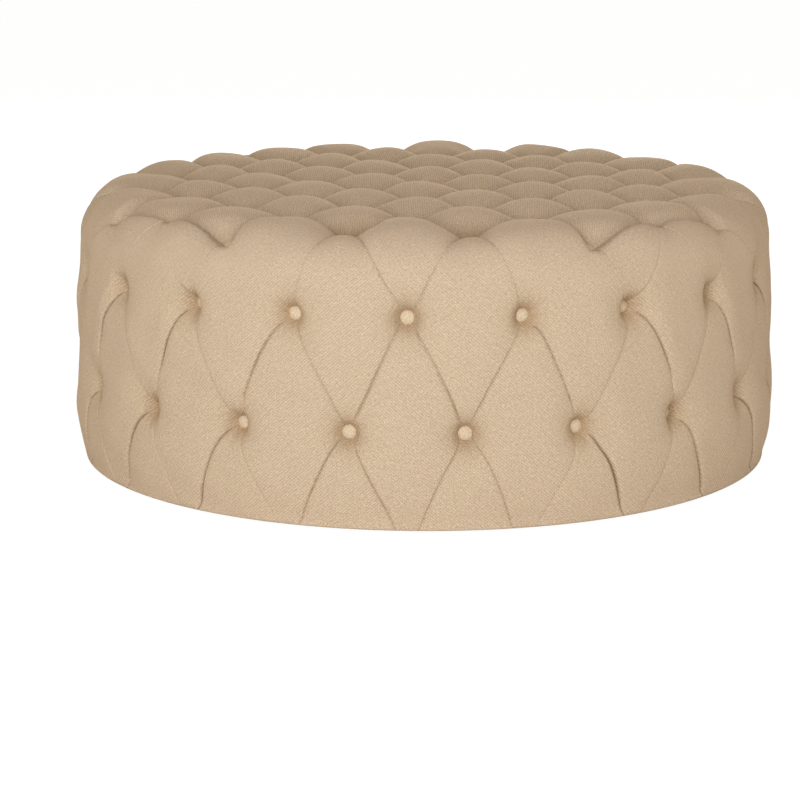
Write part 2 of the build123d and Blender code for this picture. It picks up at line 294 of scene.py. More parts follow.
def lay_out():
    """The tufts, and the puffs between them.

    A tuft is its reach along the outline, its angle from -Y, how deep it is pulled, how
    deep its creases lie, 1 on the side and 0 on the top, half the width of the dip round
    it, and 1 on the rim.

    The top's tufts are every other point of a square grid. Those on the rim lie in wide
    pockets, wider over the flat than over the shoulder. The side's are two rings, which
    are pulled a little deeper towards the left and right, in tighter dips. A last ring
    lies under the hem, where the side's creases would meet. A puff is four numbers of
    tufts, and a three-sided puff has its last number twice.
    """
    body, puffs, _, _ = settings()
    flat = body.radius - body.shoulder
    half = body.diamond / 2
    count = body.ring_count
    tufts, number = [], {}
    for column in range(-6, 7):
        for row in range(-6, 7):
            radius = math.hypot(column, row) * half
            if (column + row) % 2 or radius >= GRID_REACH:
                continue
            on_rim = radius >= RIM_REACH
            depth, width = puffs.top_depth, puffs.top_funnel
            if on_rim:
                depth = puffs.rim_depth - 0.004 * (radius > flat)
                width = puffs.pocket * (1.5 if radius < flat else 0.8)
            # The cloth slips back a little, to 0.88 of the way round the shoulder
            over = 0.88 * math.asin(max(radius - flat, 0) / (body.shoulder - depth))
            reach = min(radius, flat) + body.shoulder * over
            number[column, row] = len(tufts)
            turn = math.atan2(column, -row)
            tufts.append((reach, turn, depth, puffs.top_crease, 0.0, width, float(on_rim)))
    rim = [spot for spot in number if math.hypot(*spot) * half > RIM_REACH]
    rim.sort(key=lambda spot: math.atan2(spot[0], -spot[1]) % TAU)
    rings = []
    for first, height, depth in [
        (0.0, body.upper_height, puffs.side_depth),
        (0.5, body.lower_height, puffs.side_depth),
        (0.0, FOOT_HEIGHT, FOOT_PULL),
    ]:
        reach = side_reach(height)
        rings.append([len(tufts) + step for step in range(count)])
        for step in range(count):
            turn = TAU * (first + step) / count + body.ring_turn
            off = math.sin(turn) ** 2
            pull = depth + 0.004 * off * (depth > LEAST_REAL_PULL)
            width = puffs.side_funnel - 0.002 * off
            tufts.append((reach, turn, pull, puffs.side_crease, 1.0, width, 0.0))
    upper, lower, foot = rings

    # The puffs of the top, by the point of the grid in their middle
    cells = []
    for column, row in [(c, r + 1) for c, r in number]:
        ring = [(column, row - 1), (column + 1, row), (column, row + 1), (column - 1, row)]
        if all(spot in number for spot in ring):
            cells.append([number[spot] for spot in ring])
    top_cells = len(cells)

    # Round the shoulder, between the rings, and down to the hem
    for step in range(count):
        ahead, behind = rim[step], rim[step - 1]
        inmost = [
            number[spot]
            for spot in number
            if all(abs(spot[0] - s[0]) == 1 and abs(spot[1] - s[1]) == 1 for s in (ahead, behind))
        ]
        if inmost:
            cells.append([inmost[0], number[ahead], upper[step], number[behind]])
        else:
            cells.append([number[behind], number[ahead], upper[step], upper[step]])
        after = (step + 1) % count
        cells.append([number[ahead], upper[after], lower[step], upper[step]])
        cells.append([upper[step], lower[step], foot[step], lower[step - 1]])
        cells.append([foot[step], foot[after], lower[step], lower[step]])
    groups = {
        "inner": [n for spot, n in number.items() if spot not in rim],
        "rim": [number[spot] for spot in rim],
        "upper": upper,
        "lower": lower,
    }
    return np.array(tufts), np.array(cells), top_cells, groups


def chance(first, second, seed):
    """An even spread of values from -1 to 1, the same for a pair in either order.

    It is the fraction of a very tall sine, with the numbers that this hash always has.
    """
    low, high = np.minimum(first, second), np.maximum(first, second)
    value = np.sin(low * 12.9898 + high * 78.233 + seed * 37.719) * 43758.5453
    return 2 * (value - np.floor(value)) - 1


def off_middle(angle):
    """From -1 at the left, through 0 in the middle of the front, to 1 at the right."""
    return np.sign(np.sin(angle)) * soft_step(abs(np.sin(angle)), 0.15, 0.60)


def turn_between(tufts, first, second):
    """The angle from one tuft to another, the short way round."""
    return (tufts[second, TURN] - tufts[first, TURN] + np.pi) % TAU - np.pi


def lean_out(tufts, first, second):
    """From 1 for a crease that runs away from the middle of the front on its way down,
    to -1 for one that runs towards it, and 0 in the middle."""
    outward = np.sign(turn_between(tufts, first, second)) * np.where(first < second, 1, -1)
    return outward * off_middle(tufts[np.minimum(first, second), TURN])


def unroll(reach, angle):
    """Points of the outline rolled out flat round the middle of the top."""
    return np.stack([reach * np.sin(angle), -reach * np.cos(angle)], axis=-1)


def crease_line(tufts, first, second, share):
    """Points of the crease from one tuft to another, on the outline rolled out flat.

    The line is straight on the top and a spiral on the side. It bends a little, swings
    like an S, and leaves each button with a small jog, a bell curve a seventh of the way
    along, as a fold laid by hand does. On the side it hooks out from the upper button and
    away from the middle of the front, by the sine of the way down to the power 0.55.
    """
    body = settings()[0]
    edge = body.radius - body.shoulder + body.shoulder * math.pi / 2
    r0, a0 = tufts[first, REACH], tufts[first, TURN]
    r1, a1 = tufts[second, REACH], tufts[second, TURN]
    onward = np.where(first < second, share, 1 - share)
    inside = np.sin(np.pi * share)
    side = tufts[first, SIDE] * tufts[second, SIDE]

    # A bend of up to 3 mm, an S of up to 2.2 mm, and jogs of up to 3.5 mm
    sway = 0.0030 * chance(first, second, 1) * inside
    sway += 0.0022 * chance(first, second, 2) * np.sin(2 * np.pi * onward)
    for seed, place in ((3, 0.14), (4, 0.86)):
        bell = np.exp(-(((onward - place) / 0.09) ** 2))
        sway += 0.0035 * chance(first, second, seed) * bell * inside**0.5
    sway *= first != second

    flip = np.where(first < second, 1.0, -1.0)
    start, end = unroll(r0, a0), unroll(r1, a1)
    run = end - start
    across = run[..., ::-1] * (-1, 1) / (np.hypot(run[..., :1], run[..., 1:]) + 1e-9)
    straight = start + run * share[..., None] + across * (sway * flip)[..., None]

    # A hook of 7 mm, and of up to 9.5 mm more at the left and right, give or take a quarter
    turn = turn_between(tufts, first, second)
    away = off_middle(np.where(first < second, a0, a1))
    bow = 0.0070 * np.sign(turn) * flip + 0.0095 * away
    bow = bow * side * (first != second) * (1 + 0.25 * chance(first, second, 11))
    bow = bow * np.sin(np.pi * onward**0.55)
    spiral = unroll(r0 + (r1 - r0) * share, a0 + turn * share + (sway + bow) / body.radius)

    return np.where((np.maximum(r0, r1) < edge)[..., None], straight, spiral)


def crease_depth(tufts, first, second, share):
    """How deep a crease lies along its way from one tuft to another.

    It runs evenly from the one depth to the other. Below the rim the cloth bridges it
    from one smooth step to another. Along the rim, and where a crease of the side runs
    towards the middle of the front, it does so by the sine of the way to the power 0.6.
    """
    deep = tufts[first, CREASE] * (1 - share) + tufts[second, CREASE] * share
    reach = tufts[first, REACH] * (1 - share) + tufts[second, REACH] * share
    near = np.minimum(tufts[first, REACH], tufts[second, REACH])
    far = np.maximum(tufts[first, REACH], tufts[second, REACH])
    outer = near > BRIDGE_START
    below = np.where(
        outer,
        0.96 * soft_step(reach - near, 0, 0.016),
        0.85 * soft_step(reach, BRIDGE_START, BRIDGE_END),
    )
    leaves_top = abs(tufts[first, SIDE] - tufts[second, SIDE])
    below = below * leaves_top * soft_step(far - reach, 0, 0.030)
    side = tufts[first, SIDE] * tufts[second, SIDE]
    inward = side * np.clip(-lean_out(tufts, first, second), 0, 1) * (first != second)
    along = 0.58 * tufts[first, ON_RIM] * tufts[second, ON_RIM] + 0.75 * inward
    along = along * np.maximum(np.sin(np.pi * share), 0) ** 0.6
    return deep * (1 - below - along)


def dip_in(tufts, cells, outline, pins):
    """How far the cloth is pulled in round the buttons, and the gathers round them.

    The dip is the real pull at the button and falls off as 1 / (1 + (r / its half
    width)^2.4), to nothing between 36 and 66 mm. The gathers are two sines of the way
    round, strongest 14 mm off the button.
    """
    funnel = np.zeros(outline.shape[:-1])
    gather = np.zeros_like(funnel)
    for corner in np.moveaxis(cells, 1, 0)[..., None, None]:
        gap = outline - pins[corner]
        away = np.linalg.norm(gap, axis=-1)
        draw = (1 - soft_step(away, 0.036, 0.066)) / (1 + (away / tufts[corner, DIP]) ** 2.4)
        draw = draw * (tufts[corner, PULL] - tufts[corner, CREASE])
        turn = np.arctan2(gap[..., 2] - gap[..., 1], gap[..., 0] + 1e-9)
        count = 5 + np.round(2 * chance(corner, corner, 8))
        folds = np.sin(count * turn + 6 * chance(corner, corner, 9))
        folds += 0.6 * np.sin((count + 4) * turn + 5 * chance(corner, corner, 10))
        folds = folds * (away / 0.014) * np.exp(-((away / 0.020) ** 2))
        gather = np.where(draw > funnel, folds * (tufts[corner, PULL] > LEAST_REAL_PULL), gather)
        funnel = np.maximum(funnel, draw)
    return funnel, gather


def fold_in(tufts, outline, pins, sides):
    """The depth of the grooves and lips along the creases, and painted shade in the folds.

    sides says for each side of a puff how far its points are from it, how far along it
    they are, its two tufts, and its middle. The groove is an exponential of the distance.
    On the puff above, the cloth is folded over it in a lip, the difference of two
    exponentials. Folds fade out near their buttons, towards the top and, to a third, at
    the hem, and stand firmer where they run away from the middle of the front.
    """
    groove = settings()[1].groove
    strips = outline.shape[1] - 1
    middle = outline[:, strips // 2, strips // 2][:, None, None]
    by_hem = 0.35 + 0.65 * soft_step(outline[..., 2], 0.010, 0.045)
    depth = np.zeros(outline.shape[:-1])
    fold = np.zeros_like(depth)
    for which, (gap, along, first, second, halfway) in enumerate(sides):
        # Nothing within 3.5 mm of the puff's other sides, where the folds cross
        alone = np.ones_like(depth)
        for other, (beside, _, third, fourth, _) in enumerate(sides):
            if other != which:
                alone = alone * np.where(third == fourth, 1.0, soft_step(beside, 0, 0.0035))
        side = tufts[first, SIDE] * tufts[second, SIDE]
        mixed = abs(tufts[first, SIDE] - tufts[second, SIDE])

        # Where the fold is there at all, from 0 to 1
        near = np.linalg.norm(outline - pins[first], axis=-1)
        far = np.linalg.norm(outline - pins[second], axis=-1)
        low_end = np.where(first < second, far, near)
        high_end = np.where(first < second, near, far)
        out = lean_out(tufts, first, second)
        least_pull = np.minimum(tufts[first, PULL], tufts[second, PULL])
        fade = 0.030 * np.clip(out, 0, 1) * (least_pull > LEAST_REAL_PULL)
        live = soft_step(high_end, FOLD_START, FOLD_FULL)
        live = live * soft_step(low_end - fade, FOLD_START, 0.032 + fade) * (first != second)
        from_top = np.where(tufts[first, SIDE] > tufts[second, SIDE], 1 - along, along)
        thin = 0.75 - 0.6 * abs(off_middle(tufts[np.maximum(first, second), TURN]))
        live = live * (side + thin * mixed * soft_step(from_top, 0.30, 0.75))

        # How firm it is: some more than others, and each in waves along its way
        onward = np.where(first < second, along, 1 - along)
        firm = 0.57 + 0.12 * chance(first, second, 6) + 0.40 * out
        firm = firm * (0.85 + 0.15 * np.sin(7 * onward + 6 * chance(first, second, 12)))

        # The lip is on the puff that lies above the fold
        toward = middle - halfway[:, None, None]
        over = (toward[..., 2] + 0.2 * toward[..., 1]) > 0
        lip = 0.0028 * (np.exp(-gap / 0.009) - np.exp(-gap / 0.0006)) * over
        depth += alone * live * firm * (groove * np.exp(-gap / 0.0020) - lip) * by_hem
        # Painted shadow, darkest right along the fold line
        fold = np.maximum(fold, live * firm**1.5 * np.exp(-((gap / 0.0011) ** 1.5)))
        # The valleys between the puffs on top hold a wider, softer shade
        valley = (1 - side) * (1 - mixed) * soft_step(np.minimum(near, far), 0.0, 0.020)
        fold = np.maximum(fold, 0.24 * valley * np.exp(-((gap / 0.012) ** 2)))
    return depth, fold


def puff_grids(tufts, cells, strips):
    """Every puff as a grid of points, with how far each is pulled and folded in.

    What is carried in from the four creases is the sum of the two ways between opposite
    creases, less the way between the corners. The depth is the sum of these: a pillow
    that falls off to the creases by a power of the sine, the dips and gathers round the
    buttons, the grooves and lips along the creases, and three slow waves. It ends at the
    hem. Lines are closer together near the creases. The reaches and angles are given too.
    """
    body = settings()[0]
    ramp = np.linspace(0, 1, strips + 1)
    even = 0.06  # the rest of the spacing follows the cosine
    share = even * ramp + (1 - even) * (1 - np.cos(np.pi * ramp)) / 2
    share[0], share[-1] = 0.0, 1.0
    u, v = [way[None] for way in np.meshgrid(share, share, indexing="ij")]
    a, b, c, d = cells.T[..., None, None]

    def blended(values, p, q):
        ahead = values[a] * (1 - p) * (1 - q) + values[b] * p * (1 - q)
        return ahead + values[c] * p * q + values[d] * (1 - p) * q

    def carried_in(way, values, p, q):
        opposite = way(tufts, a, b, u) * (1 - q) + way(tufts, d, c, u) * q
        opposite = opposite + way(tufts, a, d, v) * (1 - p) + way(tufts, b, c, v) * p
        return opposite - blended(values, p, q)

    flat = unroll(tufts[:, REACH], tufts[:, TURN])
    place = carried_in(crease_line, flat, u[..., None], v[..., None])
    reach = np.hypot(place[..., 0], place[..., 1])
    angle = np.arctan2(place[..., 0], -place[..., 1])
    outline = body_point(reach, angle, 0.0)
    pins = body_point(tufts[:, REACH], tufts[:, TURN], 0.0)

    # The pillow, no two of them quite as full. A three-sided puff closes at its point
    creases = np.maximum(carried_in(crease_depth, tufts[:, CREASE], u, v), 0)
    steep = 0.48 + 0.06 * blended(tufts[:, SIDE], u, v)
    rise_u = np.maximum(np.sin(np.pi * u), 0) * (1 - (c == d) * v)
    rise_v = np.maximum(np.sin(np.pi * v), 0)
    depth = creases * (1 - rise_u**steep * rise_v**steep)
    depth = depth + 0.0015 * (0.5 + 0.5 * chance(a, c, 5)) * rise_u * rise_v

    funnel, gather = dip_in(tufts, cells, outline, pins)
    depth += funnel + 0.0010 * gather

    # Each side of a puff: distances from it across the puff, as long as the puff really is
    half = strips // 2
    across_u = np.linalg.norm(outline[:, :1] - outline[:, -1:], axis=-1)
    across_v = np.linalg.norm(outline[:, :, :1] - outline[:, :, -1:], axis=-1)
    ab, ad = pins[b] - pins[a], pins[d] - pins[a]
    lean = np.linalg.norm(np.cross(ab, ad), axis=-1)
    lean = lean / (np.linalg.norm(ab, axis=-1) * np.linalg.norm(ad, axis=-1))
    sides = [
        (v * across_v * lean, u, a, b, outline[:, half, 0]),
        ((1 - v) * across_v * lean, u, d, c, outline[:, half, -1]),
        (u * across_u * lean, v, a, d, outline[:, 0, half]),
        ((1 - u) * across_u * lean, v, b, c, outline[:, -1, half]),
    ]
    groove, fold = fold_in(tufts, outline, pins, sides)
    depth += groove

    # The padding isn't quite even: waves 65 to 95 mm long and 0.6 mm high
    x, y, z = np.moveaxis(outline, -1, 0)
    for per_x, per_y, per_z, start in ((61, 23, 17, 1.0), (-31, 67, 29, 2.3), (43, -19, 83, 4.1)):
        depth += 0.0006 * np.sin(per_x * x + per_y * y + per_z * z + start)

    depth = depth * soft_step(z, body.hem_height, body.hem_height + 0.010)
    points = body_point(np.minimum(reach, side_reach(body.hem_height)), angle, depth)
    return points, funnel, fold, reach, angle


def fill_mesh(name, points, faces):
    """A mesh from an array of points and an array of four-cornered faces."""
    mesh = bpy.data.meshes.new(name)
    mesh.vertices.add(len(points))
    mesh.vertices.foreach_set("co", points.astype(np.float32).ravel())
    mesh.loops.add(faces.size)
    mesh.loops.foreach_set("vertex_index", faces.astype(np.int32).ravel())
    mesh.polygons.add(len(faces))
    mesh.polygons.foreach_set("loop_start", np.arange(0, faces.size, 4, dtype=np.int32))
    mesh.update(calc_edges=True)
    mesh.validate(clean_customdata=False)
    mesh.shade_smooth()
    return mesh


def lay_cloth(mesh, places):
    """Give the mesh its map of the cloth, from the place of each of its points in metres."""
    loops = np.zeros(len(mesh.loops), dtype=np.int32)
    mesh.loops.foreach_get("vertex_index", loops)
    layer = mesh.uv_layers.new(name="cloth")
    layer.data.foreach_set("uv", places[loops].astype(np.float32).ravel())


def open_mesh(mesh, nearest):
    """The mesh as a bmesh, with the points welded that lie nearer together than nearest."""
    work = bmesh.new()
    work.from_mesh(mesh)
    bmesh.ops.remove_doubles(work, verts=work.verts, dist=nearest)
    return work


def close_mesh(work, mesh):
    """Turn the faces outward, and write the bmesh back as a smooth mesh."""
    bmesh.ops.recalc_face_normals(work, faces=work.faces)
    work.to_mesh(mesh)
    work.free()
    mesh.shade_smooth()


def show(obj, material, *nodes, slot):
    """Put a finished piece in the scene, in place of its nodes of the frame."""
    bpy.context.scene.collection.objects.link(obj)
    obj.data.materials.append(material)
    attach(obj, "root")
    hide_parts(*nodes)


# Materials


def linear(code):
    """A linear colour from an sRGB hex value."""
    values = [int(code[i : i + 2], 16) / 255 for i in (0, 2, 4)]
    return [v / 12.92 if v <= 0.04045 else ((v + 0.055) / 1.055) ** 2.4 for v in values] + [1.0]


def add_node(tree, kind, inputs=None, **fields):
    """Add a node, set its fields, and set or link its inputs."""
    made = tree.nodes.new(kind)
    for field, value in fields.items():
        setattr(made, field, value)
    for key, value in (inputs or {}).items():
        socket = made.inputs[key]
        if isinstance(value, bpy.types.NodeSocket):
            tree.links.new(value, socket)
        else:
            socket.default_value = value
    return made


def new_material(name):
    """An empty node material and its tree."""
    material = bpy.data.materials.new(name)
    material.use_nodes = True
    material.node_tree.nodes.clear()
    return material, material.node_tree


def finish_material(tree, colour, normal=None, **constants):
    """Close a tree with a principled shader. Constants go on the shader's own sockets."""
    shader = add_node(tree, "ShaderNodeBsdfPrincipled")
    tree.links.new(colour, shader.inputs["Base Color"])
    if normal is not None:
        tree.links.new(normal, shader.inputs["Normal"])
    for key, value in constants.items():
        shader.inputs[key.replace("_", " ")].default_value = value
    out = add_node(tree, "ShaderNodeOutputMaterial")
    tree.links.new(shader.outputs["BSDF"], out.inputs["Surface"])


def linen(name, colour, rib, painted_shades=()):
    """Natural linen, woven as a twill: matt, with slanting ribs and uneven threads.

    The ribs follow the cloth's own UV map, which is in metres. Two sets of noise, drawn
    out along the threads, give the uneven yarn, and a third a mottle. The last argument
    gives each attribute its share of a colour: painted shade, warmer and darker, down in
    the tufts and folds. A close fuzz of fibres gives it a pale edge, and it hardly shines.
    """
    material, tree = new_material(name)
    cloth = add_node(tree, "ShaderNodeUVMap", uv_map="cloth").outputs["UV"]

    def turned(angle, stretch):
        place = {"Vector": cloth, "Rotation": (0, 0, angle), "Scale": stretch}
        return add_node(tree, "ShaderNodeMapping", place).outputs["Vector"]

    def noise(vector, scale, detail, rough):
        inputs = {"Vector": vector, "Scale": scale, "Detail": detail, "Roughness": rough}
        return add_node(tree, "ShaderNodeTexNoise", inputs).outputs["Fac"]

    def maths(operation, *values):
        inputs = dict(enumerate(values))
        return add_node(tree, "ShaderNodeMath", inputs, operation=operation).outputs[0]

    def spread(value, low, high):
        inputs = {"Value": value, "From Min": 0.2, "From Max": 0.8, "To Min": low, "To Max": high}
        return add_node(tree, "ShaderNodeMapRange", inputs).outputs["Result"]

    # Slanting ribs. In such a cloth they are about 1.5 mm apart. They are drawn at twice
    # that, because a pixel of the picture is 1.4 mm wide and would swallow them
    twill = add_node(
        tree, "ShaderNodeTexWave",
        {"Vector": turned(math.radians(49), (1, 1, 1)), "Scale": WAVE_BAND / rib,
         "Distortion": 3.0, "Detail": 2.0, "Detail Scale": 3.2, "Detail Roughness": 0.65},
        wave_type="BANDS", bands_direction="X", wave_profile="SIN",
    ).outputs["Fac"]
    # The threads: grains 1.4 mm wide and 4 mm long each way. Real ones are 0.5 mm thick,
    # drawn coarser for the same reason
    across, along = 700, 240
    warp = noise(turned(0, (across, along, 1)), 1.0, 2.0, 0.6)
    weft = noise(turned(0, (along, across, 1)), 1.0, 2.0, 0.6)
    # The dye took unevenly, in patches of about 20 mm
    mottle = noise(cloth, 45.0, 3.0, 0.55)

    threads = maths("MULTIPLY", spread(warp, 0.79, 1.23), spread(weft, 0.79, 1.22))
    weave = maths("MULTIPLY", threads, spread(twill, 0.90, 1.06))
    weave = maths("MULTIPLY", weave, spread(mottle, 0.98, 1.02))
    base = linear(colour) if painted_shades else linear(colour)[:3]
    for attribute, share, tone in painted_shades:
        amount = add_node(tree, "ShaderNodeAttribute", attribute_name=attribute).outputs["Fac"]
        base = add_node(
            tree, "ShaderNodeMix",
            {0: maths("MULTIPLY", amount, share), 6: base, 7: linear(tone)}, data_type="RGBA",
        ).outputs[2]
    lit = add_node(tree, "ShaderNodeVectorMath", {0: base, 3: weave}, operation="SCALE").outputs[0]
    # Ribs and threads stand up by most of a millimetre, which roughens the light on them
    height = maths("MULTIPLY_ADD", twill, 0.6, threads)
    bump = add_node(
        tree, "ShaderNodeBump", {"Strength": 0.65, "Distance": 0.0008, "Height": height}
    ).outputs["Normal"]
    finish_material(
        tree, lit, bump, Roughness=0.92, Specular_IOR_Level=0.25,
        Sheen_Weight=0.24, Sheen_Roughness=0.3, Sheen_Tint=linear("e2c498"),
    )
    return material


def plain(name, dark, light, scale, stretch=(1, 1, 1), metal=0.0, rough=0.5, bump=0.2):
    """A material of two close tones in noise that may be drawn out, as grain is.

    scale is one over the size of the noise's patches in metres. It also stands up by up
    to 0.3 mm.
    """
    material, tree = new_material(name)
    place = add_node(tree, "ShaderNodeTexCoord").outputs["Object"]
    drawn = add_node(
        tree, "ShaderNodeMapping", {"Vector": place, "Scale": stretch}
    ).outputs["Vector"]
    noise = add_node(
        tree, "ShaderNodeTexNoise",
        {"Vector": drawn, "Scale": scale, "Detail": 4.0, "Roughness": 0.6},
    ).outputs["Fac"]
    colour = add_node(
        tree, "ShaderNodeMix", {0: noise, 6: linear(dark), 7: linear(light)}, data_type="RGBA"
    ).outputs[2]
    normal = add_node(
        tree, "ShaderNodeBump", {"Strength": bump, "Distance": 0.0003, "Height": noise}
    ).outputs["Normal"]
    finish_material(tree, colour, normal, Roughness=rough, Metallic=metal)
    return material


# Operators, one for each piece or group of like pieces


class OTTOMAN_OT_cover(bpy.types.Operator):
    """Make the buttoned linen cover, turned in under the drum"""

    bl_idname = "ottoman.cover"
    bl_label = "Cover"

    def execute(self, context):
        body, puffs, cloth, _ = settings()
        tufts, cells, top_cells, _ = lay_out()
        points, funnel, fold, reach, angle = puff_grids(tufts, cells, puffs.strips)
        on_top = (np.arange(len(cells)) < top_cells)[:, None, None]
        # A tuft's shade is full where the dip is this deep
        pull = np.clip(funnel / np.where(on_top, 0.013, 0.026), 0, 1) ** 1.2
        places = self.cloth_places(points, cells, on_top, reach, angle)

        index = np.arange(fold.size).reshape(fold.shape)
        quads = [index[:, :-1, :-1], index[:, 1:, :-1], index[:, 1:, 1:], index[:, :-1, 1:]]
        faces = np.stack(quads, axis=-1).reshape(-1, 4)

        # What would lie below the hem is left out
        points = points.reshape(-1, 3)
        kept = (points[faces, 2] > body.hem_height + 1e-6).any(axis=1)
        used, faces = np.unique(faces[kept], return_inverse=True)

        mesh = fill_mesh("cover", points[used], faces.reshape(-1, 4))
        for name, values in (("pull", pull), ("fold", fold)):
            mesh.attributes.new(name, "FLOAT", "POINT").data.foreach_set(
                "value", values.ravel()[used].astype(np.float32)
            )
        lay_cloth(mesh, places.reshape(-1, 2)[used])
        self.line(mesh, body.hem_height)
        obj = bpy.data.objects.new("linen_cover", mesh)
        # Painted shade: the dip round each tuft mixes in the shaded colour, and the fold lines and
        # the top's valleys mix in the creased colour
        painted_shades = (("pull", 0.55, cloth.shade), ("fold", 0.80, cloth.crease))
        material = linen("natural_linen_twill", cloth.cover, cloth.rib, painted_shades)
        show(obj, material, "cover", slot="cover_linen")
        return {"FINISHED"}

    def cloth_places(self, points, cells, on_top, reach, angle):
        """Where each point lies on the cloth: rolled out round the side, mirrored on the
        left, and laid on each puff of the top so that its ribs run nearly from front to
        back, within 9 degrees."""
        rolled = np.stack([angle * settings()[0].radius, reach], -1)
        wrap = TAU * settings()[0].radius
        rolled[..., 0] -= wrap * np.round((rolled[..., 0] - rolled[:, :1, :1, 0]) / wrap)
        bias = np.radians(-49 + 9 * chance(cells[:, 0], cells[:, 2], 13))[:, None, None]
        across, back = np.moveaxis(unroll(reach, angle), -1, 0)
        laid_x = across * np.cos(bias) - back * np.sin(bias)
        laid_y = across * np.sin(bias) + back * np.cos(bias)
        laid = np.stack([laid_x, laid_y], -1)
        places = np.where(on_top[..., None], laid, rolled)
        centre = np.median(points[..., 0].reshape(len(cells), -1), axis=1)[:, None, None]
        places[..., 0] *= np.where((centre < -0.01) & ~on_top, -1, 1)
        return places

    def line(self, mesh, low):
        """Weld the puffs, and carry the hem's round edge in under the drum and up round
        the foam, as the frame's cover is hollow."""
        inner = [(0.400, low), (0.400, low + 0.002), (0.4523, low + 0.002),
                 (0.4523, 0.3148), (0.4143, 0.3528), (0.0, 0.3528)]
        work = open_mesh(mesh, 5e-5)
        bmesh.ops.dissolve_degenerate(work, edges=work.edges, dist=1e-6)
        rim = [
            edge for edge in work.edges if edge.is_boundary and edge.verts[0].co.z < low + 0.004
        ]
        before = rim[0].verts[0].co.xy.length
        for radius, height in inner:
            made = bmesh.ops.extrude_edge_only(work, edges=rim)["geom"]
            rim = [item for item in made if isinstance(item, bmesh.types.BMEdge)]
            ends = [item for item in made if isinstance(item, bmesh.types.BMVert)]
            bmesh.ops.scale(work, vec=(radius / before, radius / before, 0), verts=ends)
            bmesh.ops.translate(work, vec=(0, 0, height), verts=ends)
            before = radius
        bmesh.ops.remove_doubles(work, verts=ends, dist=1e-5)
        close_mesh(work, mesh)


class OTTOMAN_OT_buttons(bpy.types.Operator):
    """Make the covered buttons, one dome in each tuft"""

    bl_idname = "ottoman.buttons"
    bl_label = "Buttons"

    def execute(self, context):
        cloth = settings()[2]
        tufts, _, _, groups = lay_out()
        # The same cloth, with its ribs a fifth closer where it is drawn tight. Its paler tone is
        # painted light, for the light that the raised buttons catch
        material = linen("button_linen_painted_lit", cloth.button, cloth.rib * 0.8)
        # How high each group's buttons stand over the bottoms of their tufts, in mm
        lifts = {"inner": 2.3, "rim": 0.4, "upper": 2.4, "lower": 2.4}
        ring, quads = self.dome()
        for name, numbers in groups.items():
            chosen = tufts[numbers]
            reach, angle = chosen[:, REACH], chosen[:, TURN]
            foot = body_point(reach, angle, chosen[:, PULL])
            out = body_point(reach, angle, 0.0) - foot
            out /= np.linalg.norm(out, axis=1, keepdims=True)
            across = np.stack([np.cos(angle), np.sin(angle), 0 * reach], -1)
            along = np.cross(out, across)
            # On the side, 2 mm less at the left and right than in the middle
            less = 0.0020 * abs(off_middle(angle)) * chosen[:, SIDE]
            foot = foot + out * (lifts[name] * MM - less)[:, None]
            points = foot[:, None, None] + (
                ring[..., :1] * across[:, None, None]
                + ring[..., 1:2] * along[:, None, None]
                + ring[..., 2:] * out[:, None, None]
            )
            starts = np.arange(len(numbers)) * ring[..., 0].size
            faces = quads + starts[:, None, None]
            mesh = fill_mesh(name + "_buttons", points.reshape(-1, 3), faces.reshape(-1, 4))
            places = np.broadcast_to(ring[..., :2], points.shape[:3] + (2,))
            lay_cloth(mesh, places.reshape(-1, 2))
            close_mesh(open_mesh(mesh, 1e-5), mesh)
            obj = bpy.data.objects.new(name + "_covered_buttons", mesh)
            show(obj, material, name + "_buttons", slot="button_linen")
        return {"FINISHED"}

    def dome(self):
        """A button's points, row by row from its underside's middle to its crown, and its
        faces. Its radius is 10 mm times the sine to the power 0.8. Its height is 4.1 mm
        times the sine up to the girth, and from there 5.6 mm times the cosine more."""
        around, rows = 20, 10
        turn = np.linspace(0, TAU, around, endpoint=False)
        tilt = np.pi * np.linspace(0, 1, rows)[:, None]
        radius = 0.0100 * np.sin(tilt) ** 0.8
        height = np.where(tilt < np.pi / 2, 0.0041 * np.sin(tilt), 0.0041 - 0.0056 * np.cos(tilt))
        ring = np.broadcast_arrays(radius * np.cos(turn), radius * np.sin(turn), height)
        index = np.arange(rows * around).reshape(rows, around)
        after = np.roll(index, -1, axis=1)
        quads = np.stack([index[:-1], after[:-1], after[1:], index[1:]], -1).reshape(-1, 4)
        return np.stack(ring, -1), quads


